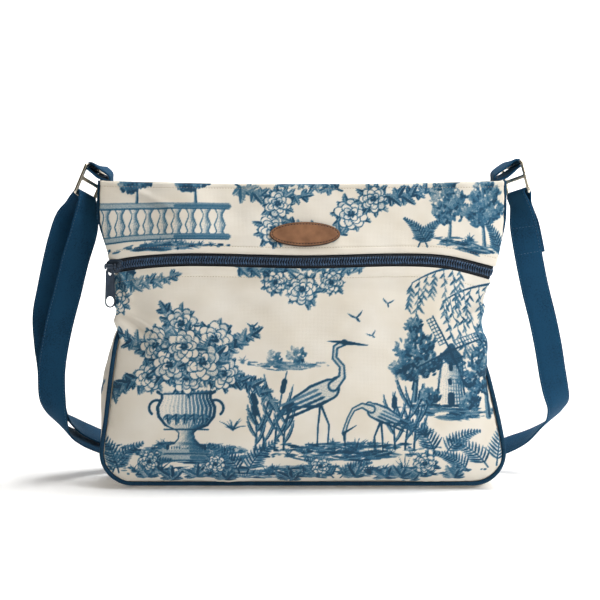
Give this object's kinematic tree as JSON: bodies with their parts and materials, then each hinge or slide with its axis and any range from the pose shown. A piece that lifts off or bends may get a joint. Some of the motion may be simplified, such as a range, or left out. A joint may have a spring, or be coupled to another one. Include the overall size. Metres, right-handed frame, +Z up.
{
  "type": "crossbody bag",
  "caption": "Soft zip-front crossbody bag in blue-printed canvas with piped seams, a leather patch and a navy shoulder strap on metal rings; it stands on its base.",
  "frame": {"origin": "centre of the flat base, on the floor", "axes": "+X to the right seen from the front, +Y to the back, +Z up"},
  "size_m": [0.4987, 0.1528, 0.2985],
  "materials": {
    "printed_canvas": "matt cotton canvas with a blue print",
    "navy_piping": "matt bias-cut cotton over cord",
    "zipper_tape": "woven polyester tape",
    "zipper_coil": "moulded nylon",
    "gunmetal": "satin dark enamel",
    "leather": "smooth tanned leather with a cut edge",
    "navy_webbing": "matt cotton twill",
    "nickel": "polished nickel plate"
  },
  "bodies": {
    "bag": {"front_upper_panel": "printed_canvas", "front_lower_panel": "printed_canvas", "back_panel": "printed_canvas", "gusset": "printed_canvas", "piping_front": "navy_piping", "piping_back": "navy_piping", "zipper_tape": "zipper_tape", "zipper_coil": "zipper_coil", "zipper_slider": "gunmetal", "leather_patch": "leather", "tab_left": "navy_webbing", "tab_right": "navy_webbing", "ring_left": "nickel", "ring_right": "nickel", "strap": "navy_webbing", "strap_adjuster": "nickel"},
    "pull": {"zipper_pull": "gunmetal"}
  },
  "joints": [
    {"name": "pull_swing", "type": "hinge", "parent": "bag", "child": "pull", "pos_m": [-0.173, -0.0403, 0.2015], "axis": [-1, 0, 0], "range_deg": [0, 160]}
  ]
}
